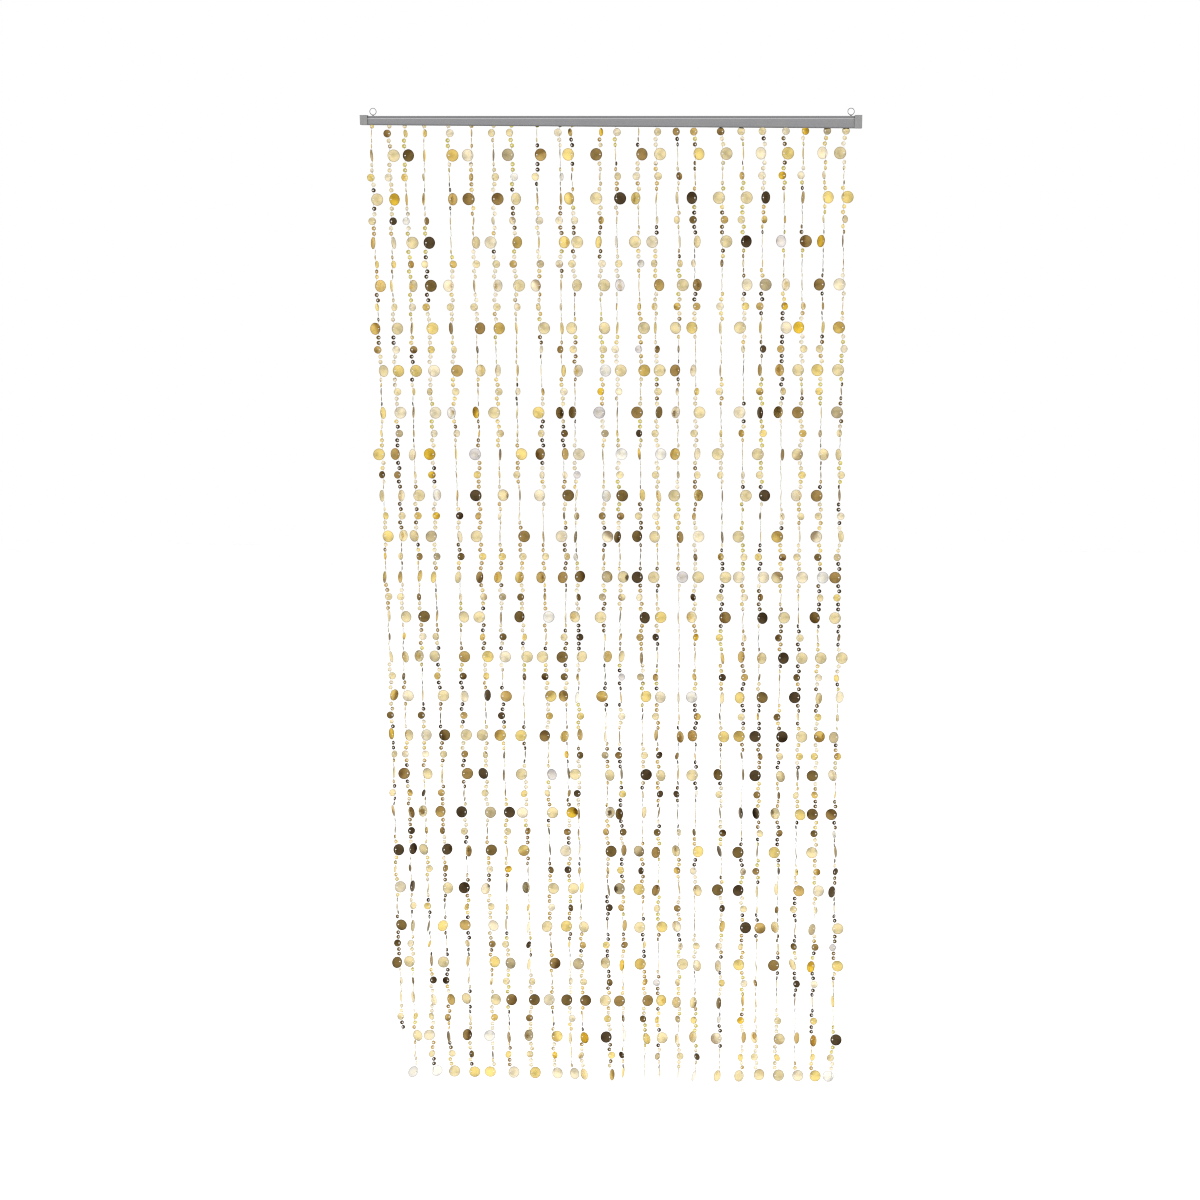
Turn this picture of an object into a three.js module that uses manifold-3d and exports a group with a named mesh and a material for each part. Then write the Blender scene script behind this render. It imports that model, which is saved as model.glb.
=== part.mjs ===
// A sequin door curtain: strings of flat round sequins that hang from a slim rail.
// Millimetres, +Z up, the front faces -Y. The origin is the middle of the rail's top face.

import * as THREE from "three";
import { mergeVertices } from "three/addons/utils/BufferGeometryUtils.js";
import Module from "manifold-3d";

const wasm = await Module();
wasm.setup();

// Overall sizes. The rail's face grows from its left end to its right end.
const OVERALL_LENGTH = 972;
const RAIL_DEPTH = 10;
const RAIL_HEIGHT_LEFT = 16.8;
const RAIL_HEIGHT_RIGHT = 23;
const RAIL_WALL = 1.6;
const GAP = 0.3;

// The upper band of the rail's face is set back behind a small sloping ledge.
const BAND_HEIGHT = 4;
const BAND_SETBACK = 0.8;
const LOWER_EDGE_CHAMFER = 0.8;

// The end caps slip over the rail's ends and are open below, as the rail is.
const CAP_LENGTH = 14.5;
const CAP_RISE = 1.6;
const CAP_WALL = 1.3;
const CAP_END = 2;
const CAP_CHAMFER = 0.7;

// The ring eyes stand on the rail, each on a small collar.
const EYE_POSITIONS = { left: -461, right: 464.5 };
const EYE_HEIGHT = 8.4;
const EYE_RADIUS = 6.2;
const EYE_WIRE_RADIUS = 0.8;
const EYE_STEPS = { around: 18, section: 6 };
const COLLAR = { radius: 2.2, shoulder: 1.1, neckRadius: 1.1, top: 2.6, sides: 10 };

// The header tape fills the rail's channel down to a little above its lower edge.
const TAPE_ABOVE_EDGE = 5;
const TAPE_JOIN = -5.5;
const ROOT_DEPTH = 3;

// Sequins. The string passes off each one's centre.
const PITCH = 83.3;
const FIRST_ROW = 71.8;
const ROW_RISE = 0.0065;
const LARGE = { radius: 11.9, offset: 7.4, band: 3, rim: [-58, 0, 58], facing: 1.2 };
const MEDIUM = { radius: 7.5, offset: 3.5, band: 3.4, rim: [0], facing: 1.1 };
const BELOW_MEDIUM = 28.4;

// The string's three-sided section: a flat front and a ridge along its back.
const FRONT = 0.4;
const RIDGE = -0.8;

// Each string sways a little about the line from the rail to its hem.
const HEM_DEPTH = 2000;
const SWAY = 1.2;
const SWAY_LENGTH = 110;
const SWAY_PHASE = 2.4;

// Sequins of neighbouring strings stay this far apart, and turn by this step until they do. One
// whose top is up in the rail's channel turns only by this share.
const CLEAR = 1;
const TURN_STEP = 12;
const TURN_IN_CHANNEL = 0.15;

// What sets off the repeatable series of numbers that turns one string's sequins.
const SERIES = { multiplier: 48271, modulus: 2147483647, seed: 7919, firstString: 3 };

// The strings from left to right: where each leaves the rail, where its lowest sequin hangs, and
// how many large sequins it has. One with fewer than the full number ends below a medium sequin.
const FULL_ROWS = 24;
const STRINGS = [
  { rail: -465, hem: -465, rows: 22 },
  { rail: -432, hem: -437, rows: 24 },
  { rail: -400, hem: -399, rows: 24 },
  { rail: -364, hem: -363, rows: 24 },
  { rail: -316, hem: -317, rows: 24 },
  { rail: -270, hem: -270, rows: 24 },
  { rail: -229, hem: -234, rows: 24 },
  { rail: -192, hem: -186, rows: 24 },
  { rail: -143, hem: -140, rows: 24 },
  { rail: -99, hem: -101, rows: 24 },
  { rail: -74, hem: -78, rows: 24 },
  { rail: -21, hem: -19, rows: 24 },
  { rail: 10, hem: 11, rows: 24 },
  { rail: 55, hem: 55, rows: 24 },
  { rail: 88, hem: 87, rows: 24 },
  { rail: 132, hem: 129, rows: 24 },
  { rail: 165, hem: 164, rows: 24 },
  { rail: 217, hem: 218, rows: 24 },
  { rail: 258, hem: 264, rows: 24 },
  { rail: 297, hem: 294, rows: 24 },
  { rail: 337, hem: 337, rows: 24 },
  { rail: 374, hem: 376, rows: 24 },
  { rail: 415, hem: 414, rows: 24 },
  { rail: 453, hem: 457, rows: 24 },
];

const RAIL_HEIGHT_MIDDLE = (RAIL_HEIGHT_LEFT + RAIL_HEIGHT_RIGHT) / 2;
const RAIL_TAPER = (RAIL_HEIGHT_RIGHT - RAIL_HEIGHT_LEFT) / OVERALL_LENGTH;

// Corners below this height belong to the rail's lower edge, which slopes.
const TAPERED_BELOW = -RAIL_HEIGHT_LEFT / 2;

const QUARTER_TURN = 90;
const HALF_TURN = 180;
const MERGE_WITHIN = 1e-4;

const MATERIALS = {
  rail: { color: 0x9a9a9a, roughness: 0.45, metalness: 0.3 },
  cap: { color: 0xa0a0a0, roughness: 0.5, metalness: 0.1 },
  wire: { color: 0xd8d8d8, roughness: 0.25, metalness: 0.9 },
  sequins: { color: 0xc9a95a, roughness: 0.25, metalness: 0.8 },
};

// The height of the rail's face where it is x to the right of the middle.
function railHeight(x) {
  return RAIL_HEIGHT_MIDDLE + RAIL_TAPER * x;
}

// A section given by [y, z] corners at the rail's middle, extruded along X from one end to the other.
function alongRail(corners, from, to, bevel = {}) {
  const shape = new THREE.Shape(corners.map(([y, z]) => new THREE.Vector2(y, z)));
  const geometry = new THREE.ExtrudeGeometry(shape, { depth: to - from, bevelEnabled: false, ...bevel });
  const sectionToRail = new THREE.Matrix4().makeBasis(
    new THREE.Vector3(0, 1, 0),
    new THREE.Vector3(0, 0, 1),
    new THREE.Vector3(1, 0, 0),
  );
  geometry.applyMatrix4(sectionToRail);
  geometry.translate(from, 0, 0);
  return geometry;
}

// Lowers the bottom corners to the right and lifts them to the left, as the rail's face grows.
function taper(geometry) {
  const place = geometry.getAttribute("position");
  for (let i = 0; i < place.count; i += 1) {
    if (place.getZ(i) < TAPERED_BELOW) {
      place.setZ(i, place.getZ(i) - RAIL_TAPER * place.getX(i));
    }
  }
  return geometry;
}

// Makes a closed geometry a solid that can be joined and cut.
function toSolid(geometry) {
  const bare = geometry.clone();
  bare.deleteAttribute("normal");
  bare.deleteAttribute("uv");
  const merged = mergeVertices(bare, MERGE_WITHIN);
  return new wasm.Manifold(new wasm.Mesh({
    numProp: 3,
    vertProperties: new Float32Array(merged.getAttribute("position").array),
    triVerts: new Uint32Array(merged.getIndex().array),
  }));
}

function toGeometry(solid) {
  const mesh = solid.getMesh();
  const geometry = new THREE.BufferGeometry();
  geometry.setAttribute("position", new THREE.BufferAttribute(mesh.vertProperties, 3));
  geometry.setIndex(new THREE.BufferAttribute(mesh.triVerts, 1));
  geometry.computeVertexNormals();
  return geometry;
}

// Rail: an inverted channel with the ledge across its front.
function railGeometry() {
  const half = RAIL_DEPTH / 2;
  const inner = half - RAIL_WALL;
  const bottom = -RAIL_HEIGHT_MIDDLE;
  const end = OVERALL_LENGTH / 2 - CAP_END - GAP;
  return taper(alongRail([
    [half, 0],
    [BAND_SETBACK - half, 0],
    [BAND_SETBACK - half, -BAND_HEIGHT],
    [-half, -BAND_HEIGHT - BAND_SETBACK],
    [-half, bottom + LOWER_EDGE_CHAMFER],
    [LOWER_EDGE_CHAMFER - half, bottom],
    [-inner, bottom],
    [-inner, -RAIL_WALL],
    [inner, -RAIL_WALL],
    [inner, bottom],
    [half, bottom],
  ], -end, end));
}

// End cap for the left end (side = -1) or the right one (side = 1): a chamfered block whose pocket,
// open below and toward the middle, takes the rail's end.
function capGeometry(side) {
  const outerEnd = OVERALL_LENGTH / 2;
  const pocketHalf = RAIL_DEPTH / 2 + GAP;
  const half = pocketHalf + CAP_WALL;
  const bottom = -RAIL_HEIGHT_MIDDLE;
  const inset = CAP_CHAMFER;
  const block = taper(alongRail(
    [
      [half - inset, CAP_RISE - inset],
      [inset - half, CAP_RISE - inset],
      [inset - half, bottom + inset],
      [half - inset, bottom + inset],
    ],
    side * (outerEnd - CAP_LENGTH / 2) - CAP_LENGTH / 2 + inset,
    side * (outerEnd - CAP_LENGTH / 2) + CAP_LENGTH / 2 - inset,
    { bevelEnabled: true, bevelThickness: inset, bevelSize: inset, bevelSegments: 1 },
  ));
  const reach = CAP_LENGTH - CAP_END + CAP_LENGTH;
  const pocketMiddle = side * (outerEnd - CAP_END - reach / 2);
  const pocket = alongRail(
    [
      [pocketHalf, GAP],
      [-pocketHalf, GAP],
      [-pocketHalf, 2 * bottom],
      [pocketHalf, 2 * bottom],
    ],
    pocketMiddle - reach / 2,
    pocketMiddle + reach / 2,
  );
  return toGeometry(toSolid(block).subtract(toSolid(pocket)));
}

// Ring eye: a round wire ring that faces the front, on a collar just above the rail's top.
function eyeGeometry() {
  const ring = new THREE.TorusGeometry(EYE_RADIUS, EYE_WIRE_RADIUS, EYE_STEPS.section, EYE_STEPS.around);
  ring.rotateX(Math.PI / 2);
  ring.translate(0, 0, EYE_HEIGHT);
  const profile = [
    [0, GAP],
    [COLLAR.radius, GAP],
    [COLLAR.radius, COLLAR.shoulder],
    [COLLAR.neckRadius, COLLAR.shoulder + GAP],
    [COLLAR.neckRadius, COLLAR.top],
    [0, COLLAR.top],
  ];
  const collar = new THREE.LatheGeometry(profile.map(([r, z]) => new THREE.Vector2(r, z)), COLLAR.sides);
  collar.rotateX(Math.PI / 2);
  return toGeometry(toSolid(ring).add(toSolid(collar)));
}

// A stretch of header tape, which follows the rail's lower edge.
function tapeGeometry(from, to) {
  const half = RAIL_DEPTH / 2 - RAIL_WALL - GAP;
  const top = -RAIL_WALL - GAP;
  const bottom = TAPE_ABOVE_EDGE - RAIL_HEIGHT_MIDDLE;
  return taper(alongRail([[half, top], [-half, top], [-half, bottom], [half, bottom]], from, to));
}

// A repeatable series of numbers between 0 and 1.
function numbersFrom(seed) {
  let state = seed;
  return () => {
    state = (state * SERIES.multiplier) % SERIES.modulus;
    return state / SERIES.modulus;
  };
}

// How far a sequin is turned from the front, in degrees. Few lie between facing it and edge on, and
// a high power keeps more of them facing it.
function turnFrom(number, power) {
  const spread = 2 * number - 1;
  const share = THREE.MathUtils.smoothstep(Math.abs(spread) ** power, 0, 1);
  return QUARTER_TURN * Math.sign(spread) * share;
}

// The same turn, or the one half a turn on, whichever is nearer to that of the sequin above.
function nearTurn(turn, above) {
  return turn + HALF_TURN * Math.round((above - turn) / HALF_TURN);
}

function cosine(degrees) {
  return Math.cos(THREE.MathUtils.degToRad(degrees));
}

// How far a sequin reaches from its string to the right (toward = 1) or to the left (toward = -1).
function reach(sequin, toward) {
  const across = cosine(sequin.turn);
  return toward * sequin.side * sequin.kind.offset * across + sequin.kind.radius * Math.abs(across);
}

// Where string i hangs at a height z.
function stringX(i, z) {
  const { rail, hem } = STRINGS[i];
  return rail + (hem - rail) * (-z / HEM_DEPTH) + SWAY * Math.sin(z / SWAY_LENGTH + SWAY_PHASE * i);
}

// Swings a sequin to its string's other side, and then turns it edge on by steps, until it clears
// the sequin beside it on the string to the left.
function clearOf(sequin, left, spacing) {
  const meets = () => reach(left, 1) + reach(sequin, -1) > spacing - CLEAR;
  if (meets()) {
    sequin.side = -sequin.side;
  }
  while (meets()) {
    sequin.turn += TURN_STEP;
  }
}

// All strings' large and medium sequins from the top down, medium first, each with its height, the
// way that it is turned and the side of the string on which its centre lies.
function hangSequins() {
  const strings = [];
  STRINGS.forEach(({ rail, rows }, i) => {
    const number = numbersFrom(SERIES.seed * (i + SERIES.firstString));
    number();
    const count = rows < FULL_ROWS ? 2 * rows + 1 : 2 * rows;
    const string = [];
    for (let k = 0; k < count; k += 1) {
      const kind = k % 2 === 0 ? MEDIUM : LARGE;
      const above = k === 0 ? 0 : string[k - 1].turn;
      const sequin = {
        kind,
        z: -FIRST_ROW - ((k - 1) / 2) * PITCH + ROW_RISE * rail,
        turn: nearTurn(turnFrom(number(), kind.facing), above),
        side: number() < 0.5 ? -1 : 1,
      };
      if (sequin.z + kind.radius + CLEAR > -railHeight(rail)) {
        sequin.turn *= TURN_IN_CHANNEL;
      }
      const left = i === 0 ? undefined : strings[i - 1][k];
      if (left !== undefined) {
        clearOf(sequin, left, stringX(i, sequin.z) - stringX(i - 1, sequin.z));
      }
      string.push(sequin);
    }
    strings.push(string);
  });
  return strings;
}

// Collects the corners and faces of one string.
class Skin {
  corners = [];
  faces = [];

  corner(point) {
    this.corners.push(point);
    return this.corners.length - 1;
  }

  triangle(a, b, c) {
    this.faces.push(a, b, c);
  }

  // Splits a quad, anticlockwise from outside, along the diagonal that bulges outward.
  quad(a, b, c, d) {
    const [pa, pb, pc, pd] = [a, b, c, d].map((corner) => this.corners[corner]);
    const normal = pb.clone().sub(pa).cross(pc.clone().sub(pa));
    if (normal.dot(pd.clone().sub(pa)) <= 0) {
      this.triangle(a, b, c);
      this.triangle(a, c, d);
    } else {
      this.triangle(b, c, d);
      this.triangle(b, d, a);
    }
  }

  geometry() {
    const geometry = new THREE.BufferGeometry();
    geometry.setAttribute("position", new THREE.Float32BufferAttribute(
      this.corners.flatMap((corner) => corner.toArray()), 3,
    ));
    geometry.setIndex(this.faces);
    return geometry;
  }
}

// A point of string i: u across the turned string, v toward its front, at the height z.
function stringPoint(i, turn, u, v, z) {
  const angle = THREE.MathUtils.degToRad(turn);
  return new THREE.Vector3(
    stringX(i, z) + u * Math.cos(angle) + v * Math.sin(angle),
    u * Math.sin(angle) - v * Math.cos(angle),
    z,
  );
}

// A plain section of the band, as at the string's root or its end.
function addSection(skin, i, turn, half, z) {
  const left = skin.corner(stringPoint(i, turn, -half, FRONT, z));
  const right = skin.corner(stringPoint(i, turn, half, FRONT, z));
  const ridge = skin.corner(stringPoint(i, turn, 0, RIDGE, z));
  return { top: [left, right], bottom: [left, right], ridge };
}

// A sequin: a flat many-sided front whose top and bottom sides are as wide as the band, and a back
// that rises to the ridge.
function addSequin(skin, i, { kind, z, turn, side }) {
  const centre = side * kind.offset;
  const point = (u, rise) => skin.corner(stringPoint(i, turn, u, FRONT, z + rise));
  const riseAt = (u) => Math.sqrt(kind.radius ** 2 - (u - centre) ** 2);
  const [riseLeft, riseRight] = [riseAt(-kind.band), riseAt(kind.band)];
  const rim = (angle) => {
    const radians = THREE.MathUtils.degToRad(angle);
    return point(centre + side * kind.radius * Math.cos(radians), kind.radius * Math.sin(radians));
  };
  const topLeft = point(-kind.band, riseLeft);
  const leftRim = side < 0 ? [...kind.rim].reverse().map(rim) : [];
  const bottomLeft = point(-kind.band, -riseLeft);
  const bottomRight = point(kind.band, -riseRight);
  const rightRim = side > 0 ? kind.rim.map(rim) : [];
  const topRight = point(kind.band, riseRight);
  const ridge = skin.corner(stringPoint(i, turn, 0, RIDGE, z));

  const leftSide = [topLeft, ...leftRim, bottomLeft];
  const rightSide = [bottomRight, ...rightRim, topRight];
  const outline = [...leftSide, ...rightSide];
  for (let k = 1; k + 1 < outline.length; k += 1) {
    skin.triangle(outline[0], outline[k], outline[k + 1]);
  }
  for (const edge of [leftSide, rightSide]) {
    for (let k = 0; k + 1 < edge.length; k += 1) {
      skin.triangle(edge[k + 1], edge[k], ridge);
    }
  }
  return { top: [topLeft, topRight], bottom: [bottomLeft, bottomRight], ridge };
}

// The band between two levels of a string.
function addBand(skin, upper, lower) {
  const [upperLeft, upperRight] = upper.bottom;
  const [lowerLeft, lowerRight] = lower.top;
  skin.quad(upperLeft, lowerLeft, lowerRight, upperRight);
  skin.quad(lowerLeft, upperLeft, upper.ridge, lower.ridge);
  skin.quad(upperRight, lowerRight, lower.ridge, upper.ridge);
}

// One string, from its root in the tape to its lowest sequin, or to a plain end below a medium one.
function stringGeometry(i, sequins) {
  const skin = new Skin();
  const rootZ = TAPE_ABOVE_EDGE - railHeight(STRINGS[i].rail) + ROOT_DEPTH;
  const root = addSection(skin, i, 0, LARGE.band, rootZ);
  skin.triangle(root.bottom[0], root.bottom[1], root.ridge);
  let above = root;
  for (const sequin of sequins) {
    const level = addSequin(skin, i, sequin);
    addBand(skin, above, level);
    above = level;
  }
  const lowest = sequins[sequins.length - 1];
  if (lowest.kind === MEDIUM) {
    const end = addSection(skin, i, lowest.turn, LARGE.band, lowest.z - BELOW_MEDIUM);
    addBand(skin, above, end);
    above = end;
  }
  skin.triangle(above.bottom[1], above.bottom[0], above.ridge);
  return skin.geometry();
}

// A length of tape with its strings fused to it.
function stringsOnTape(strings, from, to) {
  let solid = toSolid(tapeGeometry(from, to));
  STRINGS.forEach(({ rail }, i) => {
    if (rail > from && rail < to) {
      solid = solid.add(toSolid(stringGeometry(i, strings[i])));
    }
  });
  return toGeometry(solid);
}

function addMesh(group, name, geometry, finish) {
  const mesh = new THREE.Mesh(geometry, new THREE.MeshStandardMaterial({ ...finish, flatShading: true }));
  mesh.name = name;
  group.add(mesh);
  return mesh;
}

const curtain = new THREE.Group();

addMesh(curtain, "rail", railGeometry(), MATERIALS.rail);
addMesh(curtain, "end_cap_left", capGeometry(-1), MATERIALS.cap);
addMesh(curtain, "end_cap_right", capGeometry(1), MATERIALS.cap);
for (const [end, x] of Object.entries(EYE_POSITIONS)) {
  addMesh(curtain, `ring_eye_${end}`, eyeGeometry(), MATERIALS.wire).position.x = x;
}

const tapeEnd = OVERALL_LENGTH / 2 - CAP_LENGTH;
const sequins = hangSequins();
addMesh(curtain, "strings_left", stringsOnTape(sequins, -tapeEnd, TAPE_JOIN), MATERIALS.sequins);
addMesh(curtain, "strings_right", stringsOnTape(sequins, TAPE_JOIN + GAP, tapeEnd), MATERIALS.sequins);

export default curtain;
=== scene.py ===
"""A sequin door curtain on its rail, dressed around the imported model.

Strings of dished gold foil sequins hang from a woven header tape inside a slim grey rail. Plans and
sizes are in millimetres, with the origin at the middle of the rail's top face, +Z up and the front
toward -Y. Meshes are made in metres.
"""

import logging
import math
from dataclasses import dataclass, field
from enum import Enum
from typing import Callable, Sequence

import bmesh
import bpy
import numpy as np
from mathutils import Matrix, Vector


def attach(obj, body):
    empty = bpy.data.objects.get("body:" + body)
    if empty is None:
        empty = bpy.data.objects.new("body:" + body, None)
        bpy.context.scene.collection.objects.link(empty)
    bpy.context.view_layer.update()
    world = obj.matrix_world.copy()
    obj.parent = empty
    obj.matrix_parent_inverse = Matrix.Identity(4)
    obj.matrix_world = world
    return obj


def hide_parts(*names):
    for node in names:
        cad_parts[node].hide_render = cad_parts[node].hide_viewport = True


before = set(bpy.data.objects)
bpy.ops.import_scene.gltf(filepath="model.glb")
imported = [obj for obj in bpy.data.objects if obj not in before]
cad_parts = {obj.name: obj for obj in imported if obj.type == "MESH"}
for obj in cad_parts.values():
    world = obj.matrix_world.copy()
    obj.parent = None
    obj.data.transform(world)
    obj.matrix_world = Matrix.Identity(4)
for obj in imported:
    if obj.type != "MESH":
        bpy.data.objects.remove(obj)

LOG = logging.getLogger("sequin_curtain")

METRES = 0.001
BODY = "root"

Colour = tuple[float, float, float, float]
Point = tuple[float, float, float]


def shown(red: int, green: int, blue: int) -> Colour:
    """The linear colour of red, green and blue as a screen shows them, each from 11 to 255."""
    linear = [((part / 255 + 0.055) / 1.055) ** 2.4 for part in (red, green, blue)]
    return (linear[0], linear[1], linear[2], 1.0)


class End(Enum):
    """An end of the rail, as the sign of its X."""

    LEFT = -1
    RIGHT = 1

    @property
    def word(self) -> str:
        """The end's name in the names of pieces."""
        return self.name.lower()


@dataclass(frozen=True)
class Gold:
    """A tone of gold with a painted reflection of the room in it, and how common it is.

    The shares are those among the sequins that face the front, are turned, are small or hang lowest.
    Gloom is how often a sequin of the tone has painted shade on one side.
    """

    colour: Colour
    facing: float = 0.0
    turned: float = 0.0
    small: float = 0.0
    lowest: float = 0.0
    gloom: float = 0.06


class Tone(Enum):
    """The sequins' tones, gold with painted reflections, darkest to palest but for the bright amber."""

    UMBER = Gold(shown(86, 70, 48), facing=0.09, turned=0.05, small=0.18, gloom=0.3)
    OLIVE = Gold(shown(124, 101, 58), facing=0.10, turned=0.11, small=0.07, gloom=0.4)
    BRONZE = Gold(shown(160, 131, 78), facing=0.07, turned=0.10, small=0.05, gloom=0.4)
    TAUPE = Gold(shown(198, 180, 140), facing=0.04, turned=0.02)
    ANTIQUE = Gold(shown(204, 172, 104), facing=0.06, turned=0.09, small=0.09, gloom=0.3)
    HONEY = Gold(shown(223, 190, 106), facing=0.06, turned=0.12, small=0.07, lowest=0.08, gloom=0.45)
    CITRINE = Gold(shown(222, 206, 110), small=0.12)
    GILT = Gold(shown(244, 217, 135), facing=0.10, turned=0.13, small=0.10, lowest=0.12)
    STRAW = Gold(shown(241, 222, 172), facing=0.29, turned=0.15, small=0.17, lowest=0.28)
    AMBER = Gold(shown(238, 196, 64), facing=0.02, turned=0.05, gloom=0.6)
    CREAM = Gold(shown(249, 234, 200), facing=0.13, turned=0.16, small=0.18, lowest=0.30)
    PEARL = Gold(shown(228, 220, 214), facing=0.02)
    FROST = Gold(shown(246, 240, 228), facing=0.02, turned=0.02, lowest=0.22)


# The painted reflection differs with how a sequin hangs, so each set of sequins draws tones by its own
# shares.
FACING_TONES = {tone: tone.value.facing for tone in Tone if tone.value.facing}
TURNED_TONES = {tone: tone.value.turned for tone in Tone if tone.value.turned}
SMALL_TONES = {tone: tone.value.small for tone in Tone if tone.value.small}
LOWEST_TONES = {tone: tone.value.lowest for tone in Tone if tone.value.lowest}


@dataclass(frozen=True)
class DiscSize:
    """One size of sequin and how finely it is meshed.

    The thread passes through a hole that lies off the sequin's centre by the offset. The dish is how
    much higher its rim is than its centre. Facing is a power that keeps more of them turned to the
    front when it is high, and nod is how far they may nod either way, in degrees.
    """

    radius: float
    offset: float
    hole: float
    dish: float
    sides: int
    bands: int
    facing: float
    nod: float
    thickness: float = 0.24


class Kind(Enum):
    """The three sizes of sequin."""

    LARGE = DiscSize(radius=11.9, offset=7.4, hole=1.3, dish=1.7, sides=32, bands=3, facing=1.2, nod=12)
    MEDIUM = DiscSize(radius=7.5, offset=3.5, hole=1.25, dish=1.2, sides=24, bands=2, facing=1.1, nod=13)
    SMALL = DiscSize(radius=4.15, offset=1.2, hole=1.35, dish=0.6, sides=16, bands=1, facing=1.25, nod=14)


@dataclass
class Sequin:
    """A sequin as it hangs.

    Its centre is on the given side of the string at the height z. It is turned about the string and
    nods about its own level axis, both in degrees, and it is dished to the front or the back. Gloom
    is how much painted shade darkens it on one side, which lies toward an angle in degrees.
    """

    kind: Kind
    z: float
    turn: float
    side: int
    nod: float = 0.0
    cup: int = 1
    # Its tone is its gold with a painted reflection of the room.
    tone: Tone = Tone.STRAW
    # Its shade scales its tone, by chance and by the curtain's painted shade at its height.
    shade: float = 1.0
    gloom: float = 0.0
    gloom_toward: float = 0.0

    def reach(self, toward: int) -> float:
        """How far it reaches from its string.

        Args:
            toward: 1 for its reach to the right, -1 for that to the left.

        Returns:
            The distance in millimetres.
        """
        across = math.cos(math.radians(self.turn))
        size = self.kind.value
        return toward * self.side * size.offset * across + size.radius * abs(across)


class Series:
    """A repeatable series of numbers between 0 and 1."""

    MULTIPLIER = 48271
    MODULUS = 2147483647

    def __init__(self, seed: int) -> None:
        """Starts the series from any whole number above 0 and leaves out its first number."""
        self._state = seed
        self.draw()

    def draw(self) -> float:
        """The next number."""
        self._state = (self._state * self.MULTIPLIER) % self.MODULUS
        return self._state / self.MODULUS

    def about(self, spread: float) -> float:
        """A number from -spread to spread, more often near 0."""
        return spread * (self.draw() + self.draw() - 1)

    def sign(self) -> int:
        """Either -1 or 1."""
        return -1 if self.draw() < 0.5 else 1

    def pick(self, shares: dict[Tone, float], power: float = 1.0) -> Tone:
        """Picks a tone by its share.

        Args:
            shares: The share of each tone, from dark to pale.
            power: A high one picks more of the dark tones.

        Returns:
            The tone.
        """
        left = self.draw() ** power * sum(shares.values())
        for tone, share in shares.items():
            left -= share
            if left <= 0:
                return tone
        return tone


def make_object(
    name: str, corners: np.ndarray, faces: np.ndarray, smooth: float | None,
) -> bpy.types.Object:
    """Makes a mesh object from corners in millimetres and faces that all have as many corners.

    Args:
        name: The piece's name.
        corners: One row of X, Y and Z for each corner.
        faces: One row of corner numbers for each face.
        smooth: The angle in degrees over which an edge stays sharp, or None for flat faces.

    Returns:
        The new object, linked to the scene.
    """
    mesh = bpy.data.meshes.new(name)
    count, sides = faces.shape
    mesh.vertices.add(len(corners))
    mesh.vertices.foreach_set("co", (corners * METRES).astype(np.float32).ravel())
    mesh.loops.add(count * sides)
    mesh.loops.foreach_set("vertex_index", faces.astype(np.int32).ravel())
    mesh.polygons.add(count)
    mesh.polygons.foreach_set("loop_start", np.arange(0, count * sides, sides, dtype=np.int32))
    mesh.update(calc_edges=True)
    mesh.validate()
    return link(name, mesh, smooth)


def link(name: str, mesh: bpy.types.Mesh, smooth: float | None) -> bpy.types.Object:
    """Links a mesh to the scene as an object and shades it.

    Args:
        name: The piece's name.
        mesh: The mesh.
        smooth: The angle in degrees over which an edge stays sharp, or None for flat faces.

    Returns:
        The new object.
    """
    if smooth is not None:
        mesh.shade_smooth()
        mesh.set_sharp_from_angle(angle=math.radians(smooth))
    made = bpy.data.objects.new(name, mesh)
    bpy.context.scene.collection.objects.link(made)
    return made


def from_bmesh(name: str, bm: bmesh.types.BMesh, smooth: float | None) -> bpy.types.Object:
    """Makes an object from a bmesh in millimetres, and frees it.

    Args:
        name: The piece's name.
        bm: The shape, in millimetres.
        smooth: The angle in degrees over which an edge stays sharp, or None for flat faces.

    Returns:
        The new object, linked to the scene.
    """
    bmesh.ops.recalc_face_normals(bm, faces=bm.faces)
    bmesh.ops.scale(bm, vec=(METRES,) * 3, verts=bm.verts)
    mesh = bpy.data.meshes.new(name)
    bm.to_mesh(mesh)
    bm.free()
    return link(name, mesh, smooth)


def skin(bm: bmesh.types.BMesh, rings: Sequence[Sequence[bmesh.types.BMVert]]) -> None:
    """Joins rings of corners into a closed tube with flat ends.

    Args:
        bm: The shape that the corners belong to.
        rings: The rings in order, all with as many corners.
    """
    sides = len(rings[0])
    for ring, following in zip(rings, rings[1:]):
        for k in range(sides):
            after = (k + 1) % sides
            bm.faces.new((ring[k], ring[after], following[after], following[k]))
    bm.faces.new(rings[0])
    bm.faces.new(rings[-1])
    bmesh.ops.recalc_face_normals(bm, faces=bm.faces)


def prism(
    corners: Sequence[tuple[float, float]], low: float, high: float, steps: int = 1,
) -> bmesh.types.BMesh:
    """A section in Y and Z, extruded along X.

    Args:
        corners: The section's corners, each Y and Z.
        low: The X of its left end.
        high: The X of its right end.
        steps: Lengths that it is made of.

    Returns:
        The closed shape.
    """
    bm = bmesh.new()
    places = [low + (high - low) * step / steps for step in range(steps + 1)]
    skin(bm, [[bm.verts.new((x, y, z)) for y, z in corners] for x in places])
    return bm


def round_edges(bm: bmesh.types.BMesh, width: float, steps: int = 2) -> None:
    """Rounds the edges of a bmesh where its faces turn.

    Args:
        bm: The shape.
        width: How far the rounding reaches from each edge.
        steps: Faces across each rounding.
    """
    sharp = math.radians(25)
    turning = [edge for edge in bm.edges if len(edge.link_faces) == 2 and edge.calc_face_angle() > sharp]
    bmesh.ops.bevel(
        bm, geom=turning, offset=width, offset_type="OFFSET", segments=steps, profile=0.5,
        affect="EDGES", clamp_overlap=True,
    )


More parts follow.
